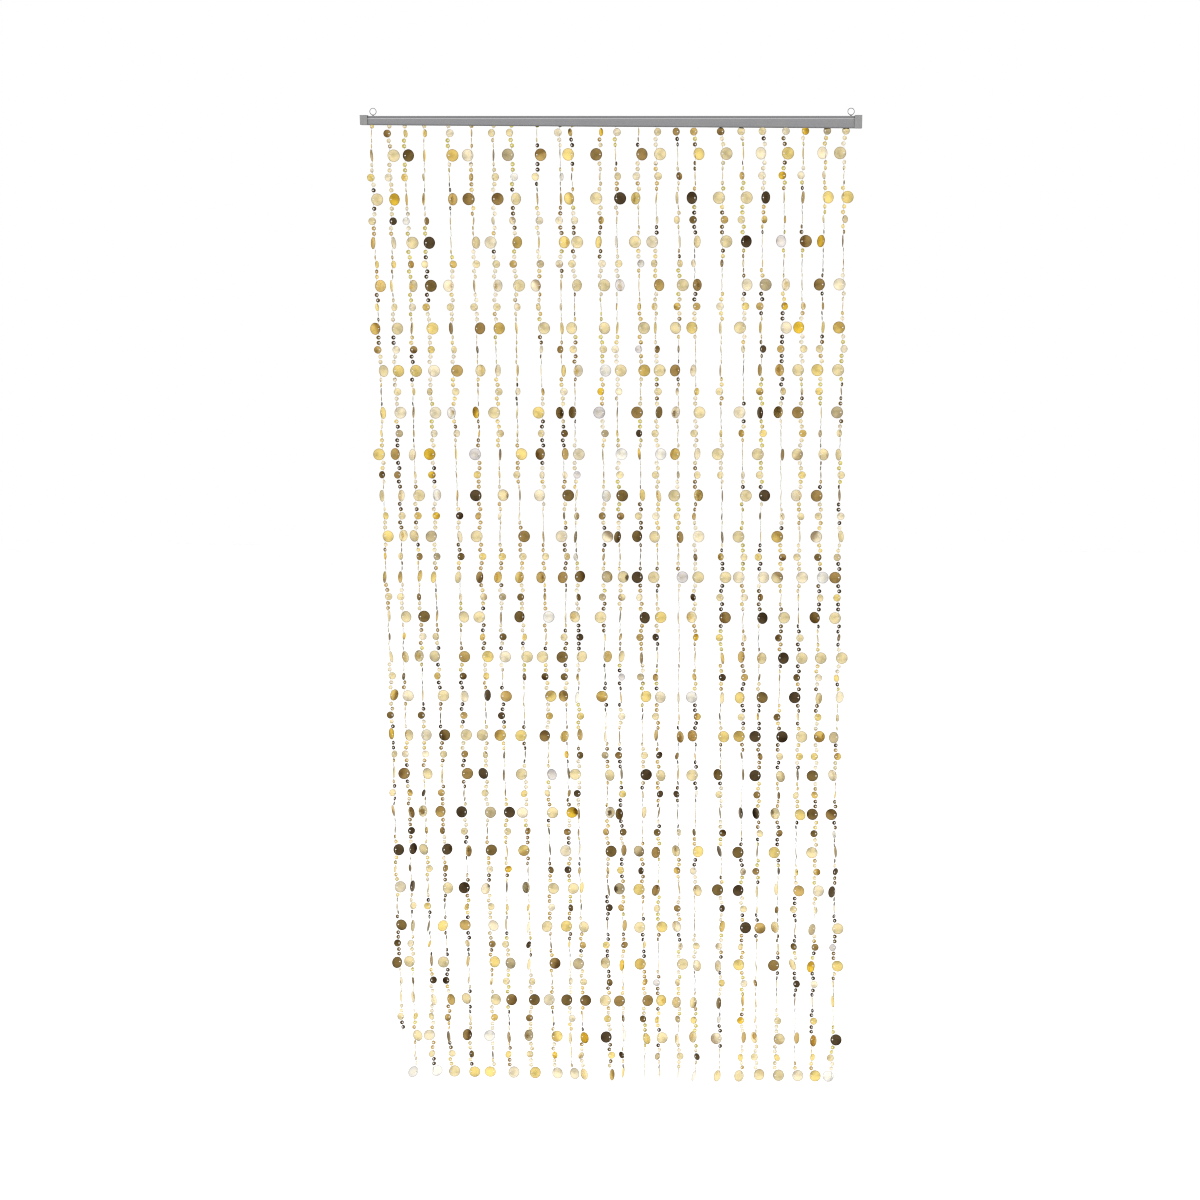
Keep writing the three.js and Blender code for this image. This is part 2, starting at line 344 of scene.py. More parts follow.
def dress(piece: bpy.types.Object, material: bpy.types.Material, node: str) -> None:
    """Gives a piece its material and its body, and hides the CAD node that it stands for.

    Args:
        piece: The piece.
        material: Its material.
        node: The CAD node that it replaces.
    """
    piece.data.materials.clear()
    piece.data.materials.append(material)
    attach(piece, BODY)
    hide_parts(node)


class Graph:
    """Adds nodes to a node tree and links them."""

    def __init__(self, tree: bpy.types.NodeTree) -> None:
        """Takes hold of a material's, a world's or a group's tree."""
        self.tree = tree

    def _give(self, socket: bpy.types.NodeSocket, value: object) -> None:
        """Sets or links an input.

        Args:
            socket: The input.
            value: Its value, or the output socket to link to it.
        """
        if isinstance(value, bpy.types.NodeSocket):
            self.tree.links.new(value, socket)
        else:
            socket.default_value = value

    def add(
        self, kind: str, sockets: dict[str | int, object] | None = None, **settings: object,
    ) -> bpy.types.Node:
        """Adds a node.

        Args:
            kind: The node's type name.
            sockets: For inputs by name or number, a value, or the output socket to link.
            settings: Attributes of the node.

        Returns:
            The new node.
        """
        node = self.tree.nodes.new(kind)
        for name, value in settings.items():
            setattr(node, name, value)
        for name, value in (sockets or {}).items():
            self._give(node.inputs[name], value)
        return node

    def math(self, operation: str, *values: object) -> bpy.types.NodeSocket:
        """The result of a Math node on two or three values or sockets."""
        return self.add("ShaderNodeMath", dict(enumerate(values)), operation=operation).outputs[0]

    def mix(
        self, factor: object, first: object, second: object, blend: str = "MIX",
    ) -> bpy.types.NodeSocket:
        """Mixes two colours.

        Args:
            factor: From 0 for the first to 1 for the second, a value or a socket.
            first: The first colour, a value or a socket.
            second: The second colour, a value or a socket.
            blend: How the second is laid over the first.

        Returns:
            The mixed colour.
        """
        node = self.add("ShaderNodeMix", data_type="RGBA", blend_type=blend)
        inputs = {socket.identifier: socket for socket in node.inputs}
        for name, value in (("Factor_Float", factor), ("A_Color", first), ("B_Color", second)):
            self._give(inputs[name], value)
        return next(socket for socket in node.outputs if socket.identifier == "Result_Color")

    def ramp(self, factor: bpy.types.NodeSocket, *stops: tuple[float, Colour]) -> bpy.types.NodeSocket:
        """Colours a factor by a ramp.

        Args:
            factor: The factor, from 0 to 1.
            stops: Two stops or more, each a position and a colour.

        Returns:
            The colour.
        """
        node = self.add("ShaderNodeValToRGB", {"Fac": factor})
        elements = node.color_ramp.elements
        for number, (position, colour) in enumerate(stops):
            stop = elements[number] if number < 2 else elements.new(position)
            stop.position = position
            stop.color = colour
        return node.outputs["Color"]

    def spread(self, value: bpy.types.NodeSocket, low: float, high: float) -> bpy.types.NodeSocket:
        """A value from 0 to 1 spread from low to high."""
        return self.add("ShaderNodeMapRange", {"Value": value, "To Min": low, "To Max": high}).outputs[0]


def grey(level: float) -> Colour:
    """A linear grey."""
    return (level, level, level, 1.0)


class Effect(Enum):
    """The shader node groups that several materials share."""

    GRAIN = "fine_grain"
    STREAKS = "drawn_streaks"
    MARKS_AND_REFLECTIONS = "handling_marks_and_reflections"


class EffectGroups:
    """Builds each shared effect once, as a node group over coordinates."""

    def __init__(self) -> None:
        """Builds the groups."""
        self.groups = {
            Effect.GRAIN: self._build(Effect.GRAIN, ("Scale",), self._grain),
            Effect.STREAKS: self._build(Effect.STREAKS, ("Fineness", "Length"), self._streaks),
            Effect.MARKS_AND_REFLECTIONS: self._build(Effect.MARKS_AND_REFLECTIONS, ("Size", "Amount"), self._marks_and_reflections),
        }

    @staticmethod
    def _build(
        effect: Effect, inputs: Sequence[str],
        fill: Callable[[Graph, bpy.types.Node], dict[str, bpy.types.NodeSocket]],
    ) -> bpy.types.NodeTree:
        """Makes a group's tree with its sockets.

        Args:
            effect: The effect that it makes.
            inputs: Names of its value inputs, beside Vector.
            fill: Adds its nodes and gives its outputs.

        Returns:
            The group's tree.
        """
        tree = bpy.data.node_groups.new(effect.value, "ShaderNodeTree")
        tree.interface.new_socket(name="Vector", in_out="INPUT", socket_type="NodeSocketVector")
        for name in inputs:
            tree.interface.new_socket(name=name, in_out="INPUT", socket_type="NodeSocketFloat")
        graph = Graph(tree)
        outputs = fill(graph, graph.add("NodeGroupInput"))
        for name in outputs:
            tree.interface.new_socket(name=name, in_out="OUTPUT", socket_type="NodeSocketFloat")
        graph.add("NodeGroupOutput", outputs)
        return tree

    @staticmethod
    def _grain(graph: Graph, source: bpy.types.Node) -> dict[str, bpy.types.NodeSocket]:
        """Coarse and fine noise together.

        Args:
            graph: The group's graph.
            source: The group's inputs.

        Returns:
            The group's outputs by name.
        """
        finer, fine_share = 6.5, 0.35
        vector, scale = source.outputs["Vector"], source.outputs["Scale"]
        coarse = graph.add("ShaderNodeTexNoise", {"Vector": vector, "Scale": scale, "Detail": 3.0})
        fine_scale = graph.math("MULTIPLY", scale, finer)
        fine = graph.add("ShaderNodeTexNoise", {"Vector": vector, "Scale": fine_scale, "Detail": 2.0})
        coarse_part = graph.math("MULTIPLY", coarse.outputs["Fac"], 1 - fine_share)
        both = graph.math("MULTIPLY_ADD", fine.outputs["Fac"], fine_share, coarse_part)
        return {"Shade": graph.spread(both, -0.55, 1.55), "Height": both}

    @staticmethod
    def _streaks(graph: Graph, source: bpy.types.Node) -> dict[str, bpy.types.NodeSocket]:
        """Long fine lines along X, as drawing or extrusion leaves.

        Args:
            graph: The group's graph.
            source: The group's inputs.

        Returns:
            The group's outputs by name.
        """
        given = source.outputs
        stretch = graph.add(
            "ShaderNodeCombineXYZ", {"X": given["Length"], "Y": given["Fineness"], "Z": given["Fineness"]},
        )
        vector = graph.add(
            "ShaderNodeVectorMath", {0: given["Vector"], 1: stretch.outputs[0]}, operation="MULTIPLY",
        )
        lines = graph.add("ShaderNodeTexNoise", {"Vector": vector.outputs[0], "Scale": 1.0, "Detail": 4.0})
        height = lines.outputs["Fac"]
        return {"Shade": graph.spread(height, -0.6, 1.6), "Height": height}

    @staticmethod
    def _marks_and_reflections(graph: Graph, source: bpy.types.Node) -> dict[str, bpy.types.NodeSocket]:
        """Soft patches where the surface was handled or holds dust, and on the foil, of painted reflection.

        Args:
            graph: The group's graph.
            source: The group's inputs.

        Returns:
            The group's outputs by name.
        """
        given = source.outputs
        noise = graph.add(
            "ShaderNodeTexNoise",
            {"Vector": given["Vector"], "Scale": given["Size"], "Detail": 5.0, "Roughness": 0.65},
        )
        patches = graph.add(
            "ShaderNodeMapRange",
            {"Value": noise.outputs["Fac"], "From Min": 0.48, "From Max": 0.68, "To Max": given["Amount"]},
        )
        return {"Mask": patches.outputs[0]}


class Coat(Graph):
    """A material in the making, with its shader and the coordinates of its surface."""

    def __init__(self, name: str, effects: EffectGroups) -> None:
        """Makes the material with its shader.

        Args:
            name: The material's name.
            effects: The shared node groups.
        """
        self.material = bpy.data.materials.new(name)
        self.material.use_nodes = True
        super().__init__(self.material.node_tree)
        self.tree.nodes.clear()
        self._effects = effects
        self._shader = self.add("ShaderNodeBsdfPrincipled")
        self.add("ShaderNodeOutputMaterial", {"Surface": self._shader.outputs["BSDF"]})
        self.place = self.add("ShaderNodeTexCoord").outputs["Object"]

    def effect(self, effect: Effect, **values: float) -> bpy.types.Node:
        """Lays a shared effect over the surface, with values for its inputs by name."""
        tree = self._effects.groups[effect]
        return self.add("ShaderNodeGroup", {"Vector": self.place, **values}, node_tree=tree)

    def feed(self, **values: object) -> None:
        """Gives the shader's inputs, named with underscores for spaces, a value or a socket each."""
        for name, value in values.items():
            self._give(self._shader.inputs[name.replace("_", " ")], value)

    def bump(self, height: bpy.types.NodeSocket, strength: float, depth: float) -> None:
        """Raises the surface by a height of about 0 to 1, for a relief of a depth in metres."""
        node = self.add("ShaderNodeBump", {"Strength": strength, "Distance": depth, "Height": height})
        self.feed(Normal=node.outputs["Normal"])


@dataclass(frozen=True)
class RailSizes:
    """The rail's sizes, which its caps, eyes, tape and strings share. Its face grows toward the right."""

    length: float = 972.0
    depth: float = 10.0
    height_left: float = 16.8
    height_right: float = 23.0
    wall: float = 1.6
    gap: float = 0.3
    band_height: float = 4.0
    band_setback: float = 0.8
    lower_chamfer: float = 0.8
    cap_length: float = 14.5
    cap_end: float = 2.0
    eye_left: float = -461.0
    eye_right: float = 464.5

    @property
    def taper(self) -> float:
        """How much the face grows for each millimetre to the right."""
        return (self.height_right - self.height_left) / self.length

    def height(self, x: float) -> float:
        """The height of the face at x."""
        return (self.height_left + self.height_right) / 2 + self.taper * x

    def follow_edge(self, bm: bmesh.types.BMesh) -> None:
        """Moves the low corners of a shape made at the rail's middle to follow the rail's lower edge.

        Args:
            bm: The shape.
        """
        for corner in bm.verts:
            if corner.co.z < -self.height_left / 2:
                corner.co.z -= self.taper * corner.co.x


@dataclass(frozen=True)
class Finish:
    """What every finish has: its material's name, and how the material is made."""

    name: str

    def build(self, effects: EffectGroups) -> bpy.types.Material:
        """Makes the material.

        Args:
            effects: The shared node groups.

        Returns:
            The material.
        """
        coat = Coat(self.name, effects)
        self.lay(coat)
        return coat.material

    def lay(self, coat: Coat) -> None:
        """Feeds the shader of a material in the making."""
        raise NotImplementedError


@dataclass(frozen=True)
class GoldFoil(Finish):
    """Metallised film, pressed into shallow dishes, in the sequins' tones with their painted reflections.

    A sequin's tone is tinted by painted reflection from its core over its flank, both given by their
    share of its radius, and darkened by painted shade at its rim.
    """

    name: str = "gold_foil"
    roughness: tuple[float, float] = (0.16, 0.34)
    crinkle: float = 260.0
    core_to: float = 0.5
    flank_from: float = 0.72
    flank_to: float = 0.84
    rim_from: float = 0.93
    mottle: float = 0.93
    # Painted reflection tints the core and the flank, and painted shade darkens the rim.
    core: Colour = (1.0, 1.0, 0.93, 1.0)
    flank: Colour = (0.93, 0.955, 1.0, 1.0)
    rim: Colour = (0.66, 0.65, 0.67, 1.0)
    # The tint of the patches of painted reflection.
    reflection_tint: Colour = (0.88, 0.87, 0.90, 1.0)
    glint: Colour = (1.0, 0.95, 0.82, 1.0)

    def lay(self, coat: Coat) -> None:
        """Feeds the shader with the sequins' tones, crinkled and here and there greyed by painted reflection.

        Args:
            coat: The material in the making.
        """
        tone = coat.add("ShaderNodeAttribute", attribute_name="tone").outputs["Color"]
        across = coat.add("ShaderNodeAttribute", attribute_name="across").outputs["Fac"]
        crinkle = coat.effect(Effect.GRAIN, Scale=self.crinkle)
        # Painted shade and reflection across each dish, by its share of the radius.
        rim = coat.ramp(
            across, (self.core_to, self.core), (self.flank_from, self.flank), (self.flank_to, self.flank),
            (self.rim_from, self.rim),
        )
        mottle = coat.ramp(crinkle.outputs["Shade"], (0.0, grey(self.mottle)), (1.0, grey(1.0)))
        # Soft patches of painted reflection, greyer than the tone.
        reflection_patches = coat.effect(Effect.MARKS_AND_REFLECTIONS, Size=75.0, Amount=0.75)
        reflection_tinted = coat.mix(1.0, tone, self.reflection_tint, "MULTIPLY")
        patched = coat.mix(reflection_patches.outputs["Mask"], tone, reflection_tinted)
        colour = coat.mix(1.0, coat.mix(1.0, patched, rim, "MULTIPLY"), mottle, "MULTIPLY")
        coat.feed(
            Base_Color=colour, Roughness=coat.spread(crinkle.outputs["Shade"], *self.roughness),
            Metallic=0.95, Specular_Tint=self.glint,
        )
        coat.bump(crinkle.outputs["Height"], strength=0.1, depth=0.0005)


@dataclass(frozen=True)
class Thread(Finish):
    """Hair-thin pale thread with a fine twist."""

    name: str = "pale_thread"
    light: Colour = shown(160, 148, 122)
    dark: Colour = shown(112, 100, 76)
    twist: float = 2600.0

    def lay(self, coat: Coat) -> None:
        """Feeds the shader with twisted strands and their fuzz.

        Args:
            coat: The material in the making.
        """
        twist = coat.add(
            "ShaderNodeTexWave", {"Vector": coat.place, "Scale": self.twist, "Distortion": 1.5},
            wave_type="BANDS", bands_direction="DIAGONAL",
        ).outputs["Fac"]
        fuzz = coat.effect(Effect.GRAIN, Scale=900.0)
        colour = coat.mix(fuzz.outputs["Shade"], coat.mix(twist, self.dark, self.light), self.light)
        coat.feed(Base_Color=colour, Roughness=0.7, Sheen_Weight=0.3)
        coat.bump(twist, strength=0.5, depth=0.0001)


@dataclass(frozen=True)
class WovenTape(Finish):
    """The header tape's close plain weave."""

    name: str = "woven_tape"
    light: Colour = shown(206, 202, 194)
    dark: Colour = shown(160, 156, 148)
    threads: float = 1100.0

    def lay(self, coat: Coat) -> None:
        """Feeds the shader with two crossing sets of threads and their fuzz.

        Args:
            coat: The material in the making.
        """
        across, along = (
            coat.add(
                "ShaderNodeTexWave", {"Vector": coat.place, "Scale": self.threads, "Distortion": 0.6},
                wave_type="BANDS", bands_direction=direction,
            ).outputs["Fac"]
            for direction in ("X", "Z")
        )
        weave = coat.math("MAXIMUM", across, along)
        fuzz = coat.effect(Effect.GRAIN, Scale=420.0)
        lit = coat.math("MULTIPLY", weave, fuzz.outputs["Shade"])
        coat.feed(Base_Color=coat.mix(lit, self.dark, self.light), Roughness=0.85, Sheen_Weight=0.2)
        coat.bump(weave, strength=0.6, depth=0.0003)


@dataclass(frozen=True)
class Enamel(Finish):
    """The rail's satin grey enamel, with a painted highlight over the ledge, and painted shade above it
    and at the edges.

    Each fade is how far from a line its mask is full, and where it is gone, in metres.
    """

    name: str = "rail_enamel"
    rail: RailSizes = field(default_factory=RailSizes)
    body: Colour = shown(124, 124, 126)
    pale: Colour = shown(131, 131, 133)
    dust: Colour = shown(142, 141, 138)
    # Painted highlight along the ledge.
    ledge: Colour = shown(162, 162, 163)
    # Painted shade, for the line above the ledge and for the edges.
    edge: Colour = shown(106, 106, 108)
    shade_depth: float = 2.9
    line_fade: tuple[float, float] = (0.0006, 0.0013)
    low_fade: tuple[float, float] = (0.0009, 0.0028)
    top_fade: tuple[float, float] = (0.0005, 0.0014)
    top_share: float = 0.7
    roughness: float = 0.46
    rougher_where_handled: float = 0.4

    def lay(self, coat: Coat) -> None:
        """Feeds the shader with the drawn enamel, its dust, a painted highlight on the ledge, and painted
        shade above it and at the edges.

        Args:
            coat: The material in the making.
        """
        streaks = coat.effect(Effect.STREAKS, Fineness=1500.0, Length=9.0)
        marks = coat.effect(Effect.MARKS_AND_REFLECTIONS, Size=34.0, Amount=0.2).outputs["Mask"]
        lines = coat.mix(streaks.outputs["Shade"], self.body, self.pale)
        dusted = coat.mix(marks, lines, self.dust)
        # Painted shadow line above the ledge.
        shaded = coat.mix(self._line(coat, self.shade_depth), dusted, self.edge)
        # Painted highlight along the ledge.
        ledge_depth = self.rail.band_height + self.rail.band_setback
        highlighted = coat.mix(self._line(coat, ledge_depth), shaded, self.ledge)
        # Painted shade along the low and top edges.
        colour = coat.mix(self._edge_shade_mask(coat), highlighted, self.edge)
        roughness = coat.math("MULTIPLY_ADD", marks, self.rougher_where_handled, self.roughness)
        coat.feed(Base_Color=colour, Roughness=roughness, Metallic=0.25)
        coat.bump(streaks.outputs["Height"], strength=0.1, depth=0.0001)

    def _line(self, coat: Coat, depth: float) -> bpy.types.NodeSocket:
        """Masks a soft line along the rail.

        Args:
            coat: The material in the making.
            depth: How far the line is below the rail's top, in millimetres.

        Returns:
            The mask.
        """
        height = coat.add("ShaderNodeSeparateXYZ", {0: coat.place}).outputs["Z"]
        away = coat.math("ABSOLUTE", coat.math("ADD", height, depth * METRES))
        return self._fade(coat, away, self.line_fade)

    def _edge_shade_mask(self, coat: Coat) -> bpy.types.NodeSocket:
        """Masks the rail's sloping low edge and its top edges, where shade is painted.

        Args:
            coat: The material in the making.

        Returns:
            The mask.
        """
        parts = coat.add("ShaderNodeSeparateXYZ", {0: coat.place}).outputs
        edge = coat.math("MULTIPLY_ADD", parts["X"], self.rail.taper, self.rail.height(0) * METRES)
        low = self._fade(coat, coat.math("ADD", parts["Z"], edge), self.low_fade)
        top = self._fade(coat, coat.math("MULTIPLY", parts["Z"], -1.0), self.top_fade)
        return coat.math("MAXIMUM", low, coat.math("MULTIPLY", top, self.top_share))

    @staticmethod
    def _fade(coat: Coat, away: bpy.types.NodeSocket, fade: tuple[float, float]) -> bpy.types.NodeSocket:
        """A mask of 1 near a line and 0 away from it, by a distance in metres."""
        values = {"Value": away, "From Min": fade[0], "From Max": fade[1], "To Min": 1.0, "To Max": 0.0}
        return coat.add("ShaderNodeMapRange", values).outputs[0]


@dataclass(frozen=True)
class MouldedPlastic(Finish):
    """The end caps' moulded grey plastic, finely textured."""

    name: str = "cap_plastic"
    body: Colour = shown(122, 122, 122)
    pale: Colour = shown(138, 138, 137)
    grain_share: float = 0.6

    def lay(self, coat: Coat) -> None:
        """Feeds the shader with the plastic's grain and its handling marks.

        Args:
            coat: The material in the making.
        """
        grain = coat.effect(Effect.GRAIN, Scale=900.0)
        marks = coat.effect(Effect.MARKS_AND_REFLECTIONS, Size=120.0, Amount=0.5)
        grained = coat.math("MULTIPLY", grain.outputs["Shade"], self.grain_share)
        colour = coat.mix(marks.outputs["Mask"], coat.mix(grained, self.body, self.pale), self.pale)
        coat.feed(Base_Color=colour, Roughness=coat.spread(grain.outputs["Shade"], 0.42, 0.6))
        coat.bump(grain.outputs["Height"], strength=0.3, depth=0.0001)


@dataclass(frozen=True)
class DrawnWire(Finish):
    """The ring eyes' bright drawn steel."""

    name: str = "eye_wire"
    bright: Colour = shown(172, 172, 174)
    dull: Colour = shown(108, 106, 104)

    def lay(self, coat: Coat) -> None:
        """Feeds the shader with drawn lines and dull patches.

        Args:
            coat: The material in the making.
        """
        streaks = coat.effect(Effect.STREAKS, Fineness=900.0, Length=300.0)
        marks = coat.effect(Effect.MARKS_AND_REFLECTIONS, Size=260.0, Amount=0.7)
        colour = coat.mix(marks.outputs["Mask"], self.bright, self.dull)
        roughness = coat.spread(streaks.outputs["Shade"], 0.16, 0.36)
        coat.feed(Base_Color=colour, Roughness=roughness, Metallic=0.9)
        coat.bump(streaks.outputs["Height"], strength=0.2, depth=0.0001)


@dataclass(frozen=True)
class PaleFloor(Finish):
    """The studio's matt white floor."""

    name: str = "pale_floor"
    body: Colour = grey(0.86)
    pale: Colour = grey(0.9)

    def lay(self, coat: Coat) -> None:
        """Feeds the shader with a faint broad grain."""
        grain = coat.effect(Effect.GRAIN, Scale=2.5)
        coat.feed(Base_Color=coat.mix(grain.outputs["Shade"], self.body, self.pale), Roughness=0.9)


@dataclass
class Rail:
    """The slim channel, open below, with a set-back band along the top of its front."""

    sizes: RailSizes
    edge_rounding: float = 0.3
    smooth: float = 30.0

    def build(self) -> bpy.types.Object:
        """Makes the rail's mesh.

        Returns:
            The piece.
        """
        s = self.sizes
        half = s.depth / 2
        inner = half - s.wall
        bottom = -s.height(0)
        end = s.length / 2 - s.cap_end - s.gap
        bm = prism([
            (half, 0),
            (s.band_setback - half, 0),
            (s.band_setback - half, -s.band_height),
            (-half, -s.band_height - s.band_setback),
            (-half, bottom + s.lower_chamfer),
            (s.lower_chamfer - half, bottom),
            (-inner, bottom),
            (-inner, -s.wall),
            (inner, -s.wall),
            (inner, bottom),
            (half, bottom),
        ], -end, end)
        s.follow_edge(bm)
        round_edges(bm, self.edge_rounding)
        return from_bmesh("rail_channel", bm, self.smooth)

    def dress(self, piece: bpy.types.Object, material: bpy.types.Material) -> None:
        """Dresses the rail's piece, which stands for the node rail."""
        dress(piece, material, "rail")


@dataclass
class EndCap:
    """A moulded cap, open below and toward the rail, that slips over one end of it."""

    sizes: RailSizes
    end: End
    rise: float = 1.6
    wall: float = 1.3
    edge_rounding: float = 0.45
    edge_steps: int = 3
    smooth: float = 35.0

    def build(self) -> bpy.types.Object:
        """Makes the cap's mesh from its outer corners and the corners of its pocket.

        Returns:
            The piece.
        """
        s = self.sizes
        side = self.end.value
        outer_x = side * s.length / 2
        inner_x = side * (s.length / 2 - s.cap_length)
        pocket_x = side * (s.length / 2 - s.cap_end)
        pocket = s.depth / 2 + s.gap
        half = pocket + self.wall
        bottom = -s.height(0)
        bm = bmesh.new()

        def corners(x: float, y: float, top: float) -> list[bmesh.types.BMVert]:
            """The corners at x, from the front top over the back to the front bottom."""
            places = ((-y, top), (y, top), (y, bottom), (-y, bottom))
            return [bm.verts.new((x, across, z)) for across, z in places]

        mouth, far = corners(inner_x, half, self.rise), corners(outer_x, half, self.rise)
        lip, back = corners(inner_x, pocket, s.gap), corners(pocket_x, pocket, s.gap)
        for face in (
            (*mouth[:3], lip[2], lip[1], lip[0], lip[3], mouth[3]),
            (mouth[3], lip[3], back[3], back[2], lip[2], mouth[2], far[2], far[3]),
            (mouth[0], far[0], far[1], mouth[1]),
            (mouth[0], mouth[3], far[3], far[0]),
            (mouth[1], far[1], far[2], mouth[2]),
            (lip[0], back[0], back[1], lip[1]),
            (lip[0], lip[3], back[3], back[0]),
            (lip[1], back[1], back[2], lip[2]),
            far,
            back,
        ):
            bm.faces.new(face)
        bmesh.ops.recalc_face_normals(bm, faces=bm.faces)
        s.follow_edge(bm)
        round_edges(bm, self.edge_rounding, self.edge_steps)
        return from_bmesh(f"cap_{self.end.word}", bm, self.smooth)

    def dress(self, piece: bpy.types.Object, material: bpy.types.Material) -> None:
        """Dresses the cap's piece, which stands for its node."""
        dress(piece, material, f"end_cap_{self.end.word}")


@dataclass
class RingEye:
    """A round eye of bent wire on a turned collar, which stands on the rail.

    The collar's profile is given by radii and heights. The ring is open toward an angle in degrees.
    """

    end: End
    x: float
    height: float = 8.4
    radius: float = 6.2
    wire: float = 0.8
    opening: float = 14.0
    open_toward: float = 118.0
    around: int = 96
    sides: int = 20
    end_rounding: int = 6
    collar_sides: int = 40
    smooth: float = 40.0
    collar: tuple[tuple[float, float], ...] = (
        (2.0, 0.3), (2.2, 0.5), (2.2, 0.95), (2.0, 1.2), (1.25, 1.45), (1.1, 1.75), (1.1, 2.3), (0.9, 2.6),
    )

    def _ring(self) -> bmesh.types.BMesh:
        """Bends the ring, open by a few degrees at its upper left, with rounded wire ends.

        Returns:
            The closed shape.
        """
        bm = bmesh.new()
        first = math.radians(self.open_toward + self.opening / 2)
        sweep = math.radians(360 - self.opening)
        steps = self.end_rounding
        plan = [(0.0, math.sin(k / steps * math.pi / 2)) for k in range(1, steps)]
        plan += [(k / self.around, 1.0) for k in range(self.around + 1)]
        plan += [(1.0, math.cos(k / steps * math.pi / 2)) for k in range(1, steps)]
        back = Vector((0, 1, 0))
        turns = [2 * math.pi * k / self.sides for k in range(self.sides)]
        rings = []
        for number, (share, size) in enumerate(plan):
            past = self.wire * math.sqrt(1 - size * size) / self.radius
            angle = first + sweep * share + (-past if number < steps else past)
            outward = Vector((math.cos(angle), 0, math.sin(angle)))
            middle = outward * self.radius + Vector((0, 0, self.height))
            rings.append([
                bm.verts.new(middle + self.wire * size * (math.cos(turn) * outward + math.sin(turn) * back))
                for turn in turns
            ])
        skin(bm, rings)
        return bm

    def _collar(self) -> bmesh.types.BMesh:
        """Turns the collar.

        Returns:
            The closed shape.
        """
        bm = bmesh.new()
        turns = [2 * math.pi * k / self.collar_sides for k in range(self.collar_sides)]
        skin(bm, [
            [bm.verts.new((radius * math.cos(turn), radius * math.sin(turn), z)) for turn in turns]
            for radius, z in self.collar
        ])
        return bm

    def build(self) -> bpy.types.Object:
        """Makes the eye's mesh, its ring and collar joined into one closed skin.

        Returns:
            The piece.
        """
        ring = from_bmesh(f"eye_{self.end.word}", self._ring(), None)
        collar = from_bmesh("eye_collar", self._collar(), None)
        join = ring.modifiers.new("join", "BOOLEAN")
        join.operation = "UNION"
        join.solver = "EXACT"
        join.object = collar
        mesh = bpy.data.meshes.new_from_object(ring.evaluated_get(bpy.context.evaluated_depsgraph_get()))
        bpy.data.objects.remove(ring)
        bpy.data.objects.remove(collar)
        mesh.transform(Matrix.Translation((self.x * METRES, 0, 0)))
        return link(f"eye_{self.end.word}", mesh, self.smooth)

    def dress(self, piece: bpy.types.Object, material: bpy.types.Material) -> None:
        """Dresses the eye's piece, which stands for its node."""
        dress(piece, material, f"ring_eye_{self.end.word}")


@dataclass(frozen=True)
class StringRow:
    """Where a string leaves the rail, where its lowest sequin hangs, and how many large ones it has."""

    rail: float
    hem: float
    rows: int = 24


STRINGS = tuple(StringRow(*row) for row in (
    (-465, -465, 22), (-432, -437), (-400, -399), (-364, -363), (-316, -317), (-270, -270),
    (-229, -234), (-192, -186), (-143, -140), (-99, -101), (-74, -78), (-21, -19),
    (10, 11), (55, 55), (88, 87), (132, 129), (165, 164), (217, 218),
    (258, 264), (297, 294), (337, 337), (374, 376), (415, 414), (453, 457),
))


